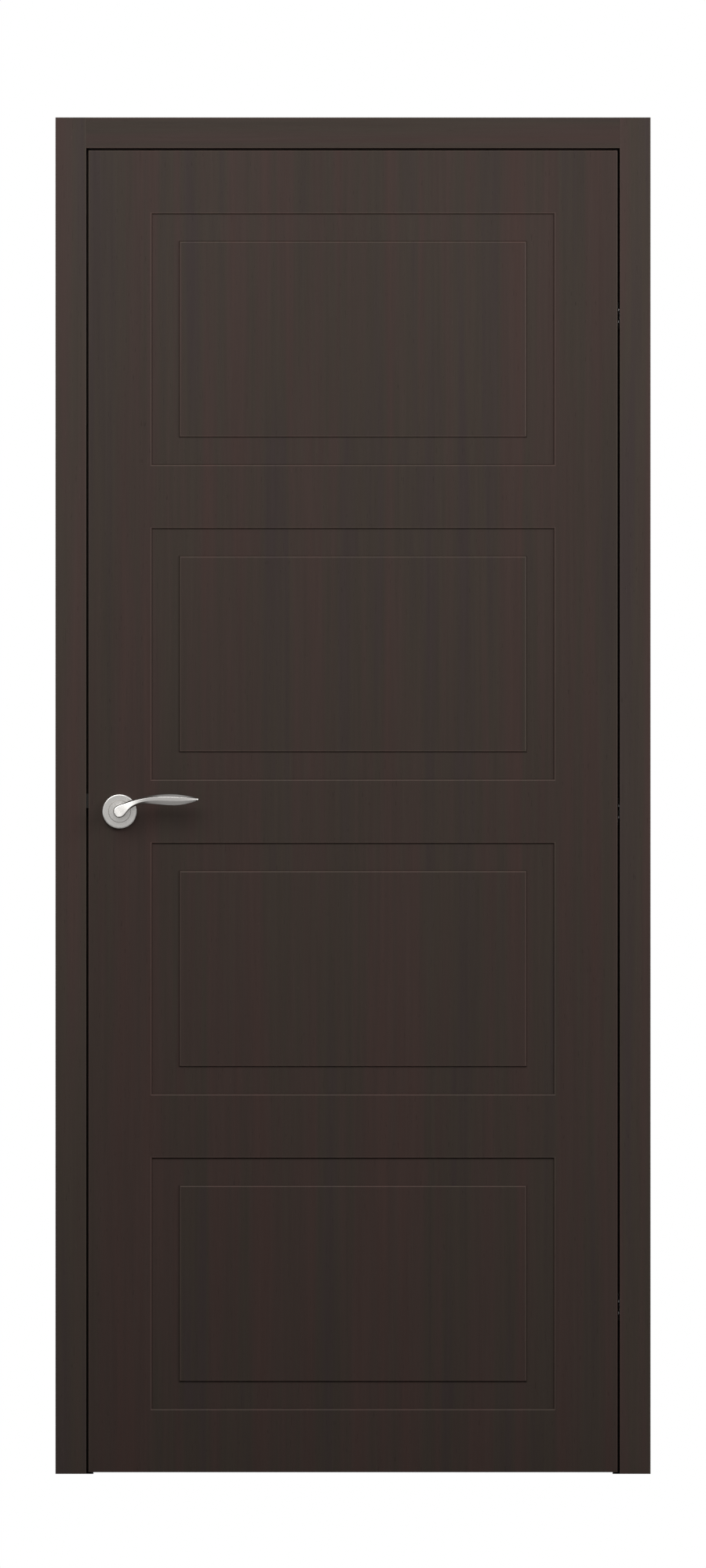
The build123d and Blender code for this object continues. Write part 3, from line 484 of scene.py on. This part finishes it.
def markArrises(bm, marked):  # gives the lines that the sanded edges stand on, by axis
    depths = [vert.co.y for vert in bm.verts]
    front, back = min(depths), max(depths)
    lines = {0: set(), 1: {front + arris["strip"], back - arris["strip"]}, 2: set()}
    for edge in bm.edges:
        buried = min(edge.verts[0].co.y - front, back - edge.verts[0].co.y) > arris["relief"]
        if edge.is_manifold and edge.calc_length() > arris["shortest"] and not buried:
            if turnsOver(edge, arris["leastTurn"]):
                edge[marked] = int(edge.is_convex)
                for axis in (0, 2):
                    if square(edge, axis):
                        lines[axis].add(round(edge.verts[0].co[axis], arris["digits"]))
    return lines


def squareUp(bm):  # every long edge's line runs on across the flats, so that a bevel stays clean
    marked = bm.edges.layers.int.new("arris")
    lines = markArrises(bm, marked)
    for axis, spots in lines.items():
        normal = Vector([float(axis == way) for way in range(3)])
        for spot in sorted(spots):
            bmesh.ops.bisect_plane(
                bm,
                geom=bm.verts[:] + bm.edges[:] + bm.faces[:],
                dist=arris["snap"],
                plane_co=normal * spot,
                plane_no=normal,
            )

    def onLine(vert):
        return any(abs(vert.co[axis] - spot) < 2 * arris["snap"] for axis in lines for spot in lines[axis])

    slanted = []
    for edge in bm.edges:
        isSlanted = sum(square(edge, axis) for axis in lines) < 2
        if edge.is_manifold and isSlanted and all(map(onLine, edge.verts)):
            if not turnsOver(edge, arris["flatTurn"]):
                slanted.append(edge)
    bmesh.ops.dissolve_edges(bm, edges=slanted, use_verts=True)
    sanded = [edge for edge in bm.edges if edge[marked] and edge.is_manifold]
    return [edge for edge in sanded if turnsOver(edge, arris["leastTurn"])]


def sandedBoard(node, body, cut):
    bm = solidMesh(node)
    flat = math.radians(arris["flatTurn"])
    bmesh.ops.dissolve_limit(bm, angle_limit=flat, verts=bm.verts, edges=bm.edges)
    rounded = bmesh.ops.bevel(
        bm,
        geom=squareUp(bm),
        offset=arris["width"],
        offset_type="OFFSET",
        segments=2,
        profile=0.5,
        affect="EDGES",
        clamp_overlap=True,
        material=-1,
    )
    # the rounded arris faces take the paler, glossier copy of the stain: a painted highlight
    for face in rounded["faces"]:
        face.material_index = 1
    bmesh.ops.triangulate(bm, faces=[face for face in bm.faces if len(face.verts) > 4])
    piece = newPiece(node + "_sanded", bm, cut + "Wood")
    piece.data.materials.append(finishes[cut + "HighlightArris"])
    place(piece, body, "stained_wood", node)


sandedBoard("leaf", "leaf", "upright")
for board in ("front_casing_left", "front_casing_right", "back_casing_left", "back_casing_right"):
    sandedBoard(board, "frame", "casing")
for board in ("front_casing_head", "back_casing_head"):
    sandedBoard(board, "frame", "level")
print("boards made")

spindleLow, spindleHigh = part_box("spindle")
axisX = (spindleLow.x + spindleHigh.x) / 2
axisZ = (spindleLow.z + spindleHigh.z) / 2
leafFace = -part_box("leaf")[0].y

# rose covers are turned: a rounded rim, a flat face and a thin groove round the neck
rose = {
    "radius": 0.02625,
    "height": 0.009,
    "wall": 0.0015,
    "rim": 0.0018,
    "rimSteps": 6,
    "grooveRadius": 0.0167,
    "grooveHalf": 0.0004,
    "grooveDepth": 0.0007,
    # across the groove in half widths, and down it in depths
    "groove": ((1.3, 0.0), (1.0, 0.0), (0.5, 0.7), (0.0, 1.0), (-0.5, 0.7), (-1.0, 0.0), (-1.3, 0.0)),
    "closeRing": 0.0003,
    "bore": 0.0093,
    "steps": 96,
    "smoothUpTo": 35,
}


def roseProfile():  # out from the axis and away from the leaf, with a close ring each side of every turn
    radius, height, wall, near = rose["radius"], rose["height"], rose["wall"], rose["closeRing"]
    points = [(radius - wall, 0.0), (radius - near, 0.0), (radius, near), (radius, near * 2)]
    rimOut, rimAlong = radius - rose["rim"], height - rose["rim"]
    for step in range(rose["rimSteps"] + 1):
        turn = math.radians(90 * step / rose["rimSteps"])
        points.append((rimOut + rose["rim"] * math.cos(turn), rimAlong + rose["rim"] * math.sin(turn)))
    points.append((rimOut - near, height))
    for across, down in rose["groove"]:
        out = rose["grooveRadius"] + across * rose["grooveHalf"]
        points.append((out, height - down * rose["grooveDepth"]))
    points.append((rose["bore"] + near * 2, height))
    points.append((rose["bore"] + near, height))
    points.append((rose["bore"], height - near))
    points.append((rose["bore"], height - wall))
    points.append((radius - wall, height - wall))
    return points


def roseCover(node, side):  # side is -1 in front of the leaf and 1 behind it
    bm = bmesh.new()
    loop = [bm.verts.new((axisX + out, side * (leafFace + along), axisZ)) for out, along in roseProfile()]
    for first, second in zip(loop, loop[1:] + loop[:1]):
        bm.edges.new((first, second))
    bmesh.ops.spin(
        bm,
        geom=bm.verts[:] + bm.edges[:],
        cent=(axisX, 0, axisZ),
        axis=(0, 1, 0),
        angle=2 * math.pi,
        steps=rose["steps"],
        use_merge=True,
    )
    bmesh.ops.remove_doubles(bm, verts=bm.verts, dist=weldGap)
    bmesh.ops.recalc_face_normals(bm, faces=bm.faces)
    piece = newPiece(node + "_turned", bm, "satin_nickel")
    smoothUpTo(piece.data, rose["smoothUpTo"])
    place(piece, "leaf", "satin_nickel", node)


roseCover("rose_cover_front", -1)
roseCover("rose_cover_back", 1)
print("rose covers made")

# lever: a round neck with a flat teardrop end that runs out into a blade with a ridged front.
# Each section is in millimetres: along, out from the leaf, up, slope in degrees, half height,
# half depth. Then, in shares of those halves, where the front facet starts and ends across the
# height, how far forward the side edges stand, and how far the facet leans back at its top
lever = {
    "sections": (
        (-6.9, 50.5, -5.3, 38, 2.6, 6.0, 0.7, -0.7, 0.7, 0.1),
        (-6.2, 50.5, -4.8, 38, 5.1, 6.2, 0.82, -0.82, 0.6, 0.15),
        (-3.9, 50.5, -3.0, 38, 8.2, 6.5, 0.88, -0.88, 0.5, 0.22),
        (0.0, 50.5, 0.2, 38, 9.6, 6.5, 0.88, -0.88, 0.5, 0.26),
        (4.7, 50.5, 3.7, 38, 8.3, 6.5, 0.85, -0.85, 0.45, 0.23),
        (9.8, 50.5, 7.0, 35, 6.7, 6.4, 0.75, -0.78, 0.35, 0.2),
        (14.6, 50.6, 9.9, 29, 5.9, 6.1, 0.64, -0.66, 0.25, 0.16),
        (22.0, 50.8, 13.2, 20, 5.5, 5.8, 0.52, -0.5, 0.15, 0.1),
        (32.0, 51.0, 16.0, 12, 5.6, 5.5, 0.44, -0.34, 0.1, 0.0),
        (43.0, 51.0, 17.5, 7, 6.9, 5.2, 0.42, -0.25, 0.0, -0.03),
        (56.0, 51.0, 18.1, 2, 8.6, 5.0, 0.42, -0.22, 0.0, -0.03),
        (78.0, 50.5, 17.6, -1, 10.0, 4.6, 0.42, -0.22, 0.0, -0.03),
        (92.0, 50.2, 17.3, 0, 9.0, 4.3, 0.42, -0.22, 0.0, -0.02),
        (103.5, 50.0, 17.6, 0, 6.8, 4.0, 0.42, -0.22, 0.0, 0.05),
        (112.5, 49.7, 17.8, 2, 4.4, 3.3, 0.42, -0.22, 0.0, 0.12),
        (120.5, 49.5, 18.0, 2, 1.8, 2.2, 0.42, -0.22, 0.0, 0.14),
    ),
    # the round back of every section, from its low edge to its top edge
    "roundBack": ((-0.85, -0.6), (-0.4, -0.96), (0.0, -1.0), (0.4, -0.96), (0.85, -0.6)),
    # how sharp the two lines along the front facet are, by their corner of the outline
    "creases": {2: 0.88, 4: 0.85},
    "smoothing": 3,
    "smoothUpTo": 32,
    "neckRadius": 0.009,
    "neckStart": 0.0005,
    "neckEnd": 0.053,
    "neckSides": 64,
    # the hole for the grub screw in the underside of the neck
    "grubOut": 0.021,
    "grubTop": 0.005,
    "grubEnd": 0.015,
    "grubRadius": 0.0026,
    "grubSides": 32,
}


def bladeOutline(ridge, low, edge, lean):  # height and depth round one section, from the top edge forwards
    return (
        (1.0, edge),
        ((1 + ridge) / 2, (1 - lean + edge) / 2),
        (ridge, 1 - lean),
        ((ridge + low) / 2, 1 - lean / 2),
        (low, 1.0),
        ((low - 1) / 2, (1 + edge) / 2),
        (-1.0, edge),
        *lever["roundBack"],
    )


def edgesAmong(bm, verts):
    return [edge for edge in bm.edges if edge.verts[0] in verts and edge.verts[1] in verts]


def bladeCage():
    bm = bmesh.new()
    crease = bm.edges.layers.float.new("crease_edge")
    rings = []
    for along, out, up, slope, halfHeight, halfDepth, *shape in lever["sections"]:
        rise = math.radians(slope)
        upward = Vector((-math.sin(rise), 0, math.cos(rise))) * halfHeight / 1000
        outward = Vector((0, -1, 0)) * halfDepth / 1000
        centre = Vector((axisX + along / 1000, -leafFace - out / 1000, axisZ + up / 1000))
        outline = bladeOutline(*shape)
        ring = bmesh.ops.create_circle(bm, segments=len(outline), radius=1.0)["verts"]
        for vert, (height, depth) in zip(ring, outline):
            vert.co = centre + upward * height + outward * depth
        rings.append(ring)
    loops = [edgesAmong(bm, ring) for ring in rings]
    for first, second in zip(loops[:-1], loops[1:]):
        bmesh.ops.bridge_loops(bm, edges=first + second)
    for loop in (loops[0], loops[-1]):
        bmesh.ops.edgeloop_fill(bm, edges=loop)
    for corner, amount in lever["creases"].items():
        for edge in edgesAmong(bm, [ring[corner] for ring in rings]):
            edge[crease] = amount
    bmesh.ops.recalc_face_normals(bm, faces=bm.faces)
    return bm


def rod(start, end, radius, sides):  # a round bar from one point to another
    bm = bmesh.new()
    along = end - start
    turn = along.to_track_quat("Z", "Y").to_matrix().to_4x4()
    bmesh.ops.create_cone(
        bm,
        cap_ends=True,
        segments=sides,
        radius1=radius,
        radius2=radius,
        depth=along.length,
        matrix=Matrix.Translation((start + end) / 2) @ turn,
    )
    return bm


def onNeck(out, down=0.0):  # a point on the lever's axis or below it
    return Vector((axisX, -leafFace - out, axisZ - down))


def mirror(mesh):  # to the other side of the leaf
    bm = bmesh.new()
    bm.from_mesh(mesh)
    bmesh.ops.scale(bm, vec=(1, -1, 1), verts=bm.verts)
    bmesh.ops.recalc_face_normals(bm, faces=bm.faces)
    bm.to_mesh(mesh)
    bm.free()


def leverPiece(node, behind):
    piece = newPiece(node + "_cast", bladeCage(), "satin_nickel")
    smooth = piece.modifiers.new("smooth", "SUBSURF")
    smooth.levels = lever["smoothing"]
    smooth.render_levels = lever["smoothing"]
    neck = rod(onNeck(lever["neckStart"]), onNeck(lever["neckEnd"]), lever["neckRadius"], lever["neckSides"])
    grubTop = onNeck(lever["grubOut"], lever["grubTop"])
    grubEnd = onNeck(lever["grubOut"], lever["grubEnd"])
    grub = rod(grubTop, grubEnd, lever["grubRadius"], lever["grubSides"])
    settle(piece, [cutOrJoin(piece, neck, "UNION"), cutOrJoin(piece, grub, "DIFFERENCE")])
    smoothUpTo(piece.data, lever["smoothUpTo"])
    if behind:
        mirror(piece.data)
    place(piece, "handle", "satin_nickel", node)


leverPiece("lever_front", False)
leverPiece("lever_back", True)
print("levers made")

# screws keep their solids' shapes, with the drive cut into each head: a cross, or a hexagon in a
# grub screw. The drives are in shares of the head's width
drives = {
    "cross": {"reach": 0.27, "half": 0.055, "proud": 0.05, "depth": 0.2, "taper": 0.7},
    "hexagon": {"reach": 0.3, "proud": 0.05, "depth": 0.4, "taper": 1.0},
}
# each set's body, drive, width of a head, ways that its heads face, and axis that its rows run along
screws = {
    "hinge_leaf_screws": ("leaf", "cross", 0.0084, ((1, 0, 0),), 2),
    "hinge_frame_screws": ("frame", "cross", 0.0084, ((-1, 0, 0),), 2),
    "strike_screws": ("frame", "cross", 0.007, ((1, 0, 0),), 2),
    "latch_faceplate_screws": ("leaf", "cross", 0.007, ((-1, 0, 0),), 2),
    "corner_screws": ("frame", "cross", 0.01, ((-1, 0, 0), (1, 0, 0)), 1),
    "grub_screws": ("handle", "hexagon", 0.005, ((0, 0, -1),), 1),
}
screwDigits = 4  # heads stand at whole tenths of a millimetre
screwSmoothUpTo = 30
hingeSteps = (-0.0485, -0.036, 0.036, 0.0485)  # the heights of a hinge's screws above its middle


def hingeRow():
    heights = []
    for count in (1, 2, 3):
        cupLow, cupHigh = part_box("hinge_leaf_cup_" + str(count))
        heights += [(cupLow.z + cupHigh.z) / 2 + step for step in hingeSteps]
    return heights


def headSpots(node, head, ways, row):  # the middle of each head's face, and the way it faces
    low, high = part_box(node)
    centre, half = (low + high) / 2, (high - low) / 2
    if node.startswith("hinge"):
        places = hingeRow()
    else:
        places = [round(end, screwDigits) for end in (low[row] + head / 2, high[row] - head / 2)]
    spots = []
    for facing in ways:
        for along in places:
            middle = centre + Vector([way * part for way, part in zip(facing, half)])
            middle[row] = along
            spots.append((middle, facing))
    return spots


def driveOutline(kind):
    reach = drives[kind]["reach"]
    if kind == "hexagon":
        turns = [step * math.pi / 3 for step in range(6)]
        return [(reach * math.cos(turn), reach * math.sin(turn)) for turn in turns]
    half = drives[kind]["half"]
    arm = [(reach, -half), (reach, half), (half, half)]
    corners = []
    for quarter in range(4):
        corners += arm
        arm = [(-y, x) for x, y in arm]
    return corners


def drivePlugs(kind, head, spots):  # what is cut out of the heads
    drive = drives[kind]
    outline = driveOutline(kind)
    bm = bmesh.new()
    for middle, facing in spots:
        turn = Matrix.Translation(middle) @ Vector(facing).to_track_quat("Z", "Y").to_matrix().to_4x4()
        ring = bmesh.ops.create_circle(bm, segments=len(outline), radius=1.0, cap_ends=True)["verts"]
        for vert, (x, y) in zip(ring, outline):
            vert.co = turn @ Vector((x * head, y * head, drive["proud"] * head))
        faces = [face for face in bm.faces if all(vert in ring for vert in face.verts)]
        made = bmesh.ops.extrude_face_region(bm, geom=faces)["geom"]
        for vert in [part for part in made if isinstance(part, bmesh.types.BMVert)]:
            corner = turn.inverted() @ vert.co
            corner = Vector((corner.x * drive["taper"], corner.y * drive["taper"], -drive["depth"] * head))
            vert.co = turn @ corner
    bmesh.ops.recalc_face_normals(bm, faces=bm.faces)
    return bm


def drivenScrews(node, body, kind, head, ways, row):
    plugs = drivePlugs(kind, head, headSpots(node, head, ways, row))
    piece = newPiece(node + "_driven", solidMesh(node), "steel")
    settle(piece, [cutOrJoin(piece, plugs, "DIFFERENCE")])
    smoothUpTo(piece.data, screwSmoothUpTo)
    place(piece, body, "steel", node)


for node, values in screws.items():
    drivenScrews(node, *values)
print("screws made")

# the return spring, between the bolt's lug and the back of the latch case, keeps its solid's shape
springSmoothUpTo = 40
spring = newPiece("latch_spring_wound", solidMesh("latch_spring"), "steel")
smoothUpTo(spring.data, springSmoothUpTo)
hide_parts("latch_spring")
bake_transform(spring)
print("spring made")

print("scene finished")
